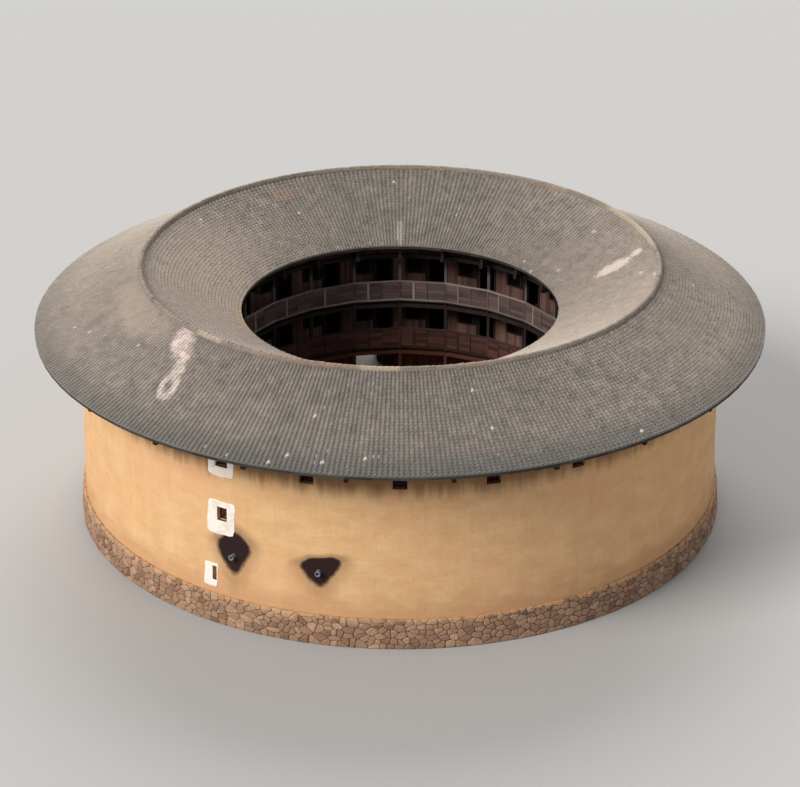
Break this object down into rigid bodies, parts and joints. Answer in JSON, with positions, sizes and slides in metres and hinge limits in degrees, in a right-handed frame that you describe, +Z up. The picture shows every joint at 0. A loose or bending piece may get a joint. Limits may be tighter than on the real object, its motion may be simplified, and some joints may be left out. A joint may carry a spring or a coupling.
{
  "type": "tulou roundhouse",
  "caption": "Three-storey rammed-earth roundhouse: thick outer wall on a stone plinth, tiled ring roof, timber galleries round an open courtyard.",
  "frame": {"origin": "ground level in the middle of the round courtyard", "axes": "+Z up, -Y towards the camera side of the picture, the gate on the +Y side a little towards -X"},
  "size_m": [37.6, 37.5124, 13.39],
  "materials": {
    "rammed_earth": "ochre rammed earth, matt, with faint lift lines",
    "rubble_stone": "brown-grey rubble stone laid in earth mortar",
    "granite": "dressed grey granite",
    "dark_timber": "old unpainted fir, smoke-darkened",
    "pale_timber": "old fir, weathered grey",
    "roof_tile": "unglazed grey clay tile, weathered brown",
    "clay_pipe": "unglazed grey clay, sooty"
  },
  "bodies": {
    "root": {"plinth_left": "rubble_stone", "plinth_front": "rubble_stone", "plinth_right": "rubble_stone", "earth_wall_over_gate": "rammed_earth", "earth_wall_gate_side_1": "rammed_earth", "earth_wall_gate_side_2": "rammed_earth", "earth_wall_back_left": "rammed_earth", "earth_wall_left": "rammed_earth", "earth_wall_front": "rammed_earth", "earth_wall_right_1": "rammed_earth", "earth_wall_right_2": "rammed_earth", "earth_wall_back_right_1": "rammed_earth", "earth_wall_back_right_2": "rammed_earth", "smoke_pipe_left": "clay_pipe", "smoke_pipe_right": "clay_pipe", "ground_floor_platform": "granite", "gallery_posts_ground": "dark_timber", "gallery_posts_second": "dark_timber", "gallery_posts_third": "dark_timber", "second_floor": "dark_timber", "third_floor": "dark_timber", "gallery_railing_second": "pale_timber", "gallery_railing_third": "pale_timber", "room_front_ground": "dark_timber", "room_front_second": "dark_timber", "room_front_third": "dark_timber", "roof_frame_front": "dark_timber", "roof_frame_right": "dark_timber", "roof_frame_back": "dark_timber", "roof_frame_left": "dark_timber", "roof_outer_front": "roof_tile", "roof_outer_right": "roof_tile", "roof_outer_back": "roof_tile", "roof_outer_left": "roof_tile", "roof_inner_front": "roof_tile", "roof_inner_right": "roof_tile", "roof_inner_back": "roof_tile", "roof_inner_left": "roof_tile", "roof_ridge_cap": "roof_tile", "gate_threshold": "granite", "gate_jamb_1": "granite", "gate_jamb_2": "granite", "gate_lintel": "granite", "gate_leaf_1": "dark_timber", "gate_leaf_2": "dark_timber"}
  },
  "joints": []
}
